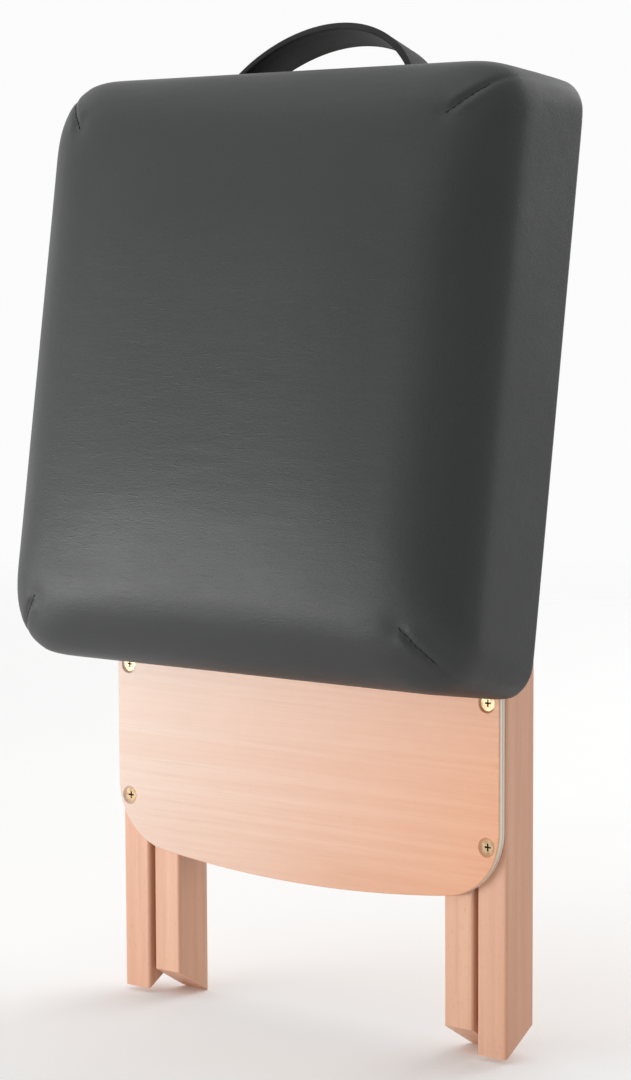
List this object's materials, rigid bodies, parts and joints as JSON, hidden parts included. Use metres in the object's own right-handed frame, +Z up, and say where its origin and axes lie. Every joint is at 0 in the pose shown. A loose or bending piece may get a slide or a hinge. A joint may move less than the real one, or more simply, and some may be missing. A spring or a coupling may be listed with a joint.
{
  "type": "folding massage stool",
  "caption": "Wooden stool with a deep upholstered seat and a carrying strap, folded flat for carrying and standing on end.",
  "frame": {"origin": "middle of the folded stool's footprint, at the height of its lowest foot edge", "axes": "+Z up along the folded legs, +X across the stool, the upholstered face towards -Y"},
  "size_m": [0.364, 0.174, 0.6419],
  "materials": {
    "beech_leg": "clear satin lacquer on beech",
    "beech_panel": "clear satin lacquer on beech-faced plywood",
    "seat_frame_wood": "bare pine and plywood",
    "zinc_screw": "yellow zinc plate",
    "steel_bolt": "clear zinc plate",
    "nylon_spacer": "black nylon",
    "seat_vinyl": "soft dark grey artificial leather with a fine grain",
    "handle_leather": "dark leathery strap",
    "foam": "open-cell foam"
  },
  "bodies": {
    "outer_frame": {"outer_leg_left": "beech_leg", "outer_leg_right": "beech_leg", "outer_panel": "beech_panel", "outer_top_rail": "beech_leg", "outer_panel_screws": "zinc_screw", "outer_rail_screws": "zinc_screw", "pivot_bolts": "steel_bolt", "pivot_spacers": "nylon_spacer", "pivot_washers": "steel_bolt", "pivot_nuts": "steel_bolt"},
    "inner_frame": {"inner_leg_left": "beech_leg", "inner_leg_right": "beech_leg", "inner_panel": "beech_panel", "inner_top_rail": "beech_leg", "inner_panel_screws": "zinc_screw", "inner_rail_screws": "zinc_screw"},
    "seat": {"seat_board": "seat_frame_wood", "side_apron_left": "seat_frame_wood", "side_apron_right": "seat_frame_wood", "lower_end_apron": "seat_frame_wood", "handle_end_apron": "seat_frame_wood", "catch_block": "seat_frame_wood", "seat_frame_screws": "zinc_screw", "handle_screws": "zinc_screw", "hinge_bolts": "steel_bolt", "hinge_tee_nuts": "steel_bolt", "cover_staples": "steel_bolt", "handle_washers": "steel_bolt", "hinge_spacers": "nylon_spacer", "seat_cover": "seat_vinyl", "handle_strap": "handle_leather", "foam_block": "foam"}
  },
  "joints": [
    {"name": "seat_fold", "type": "hinge", "parent": "outer_frame", "child": "seat", "pos_m": [0, 0.0375, 0.477], "axis": [-1, 0, 0], "range_deg": [0, 51]},
    {"name": "leg_spread", "type": "hinge", "parent": "outer_frame", "child": "inner_frame", "pos_m": [0, 0.0375, 0.357], "axis": [1, 0, 0], "range_deg": [0, 60.7]}
  ],
  "couplings": [
    {"joint": "leg_spread", "follows": "seat_fold", "ratio": 1.1902}
  ]
}
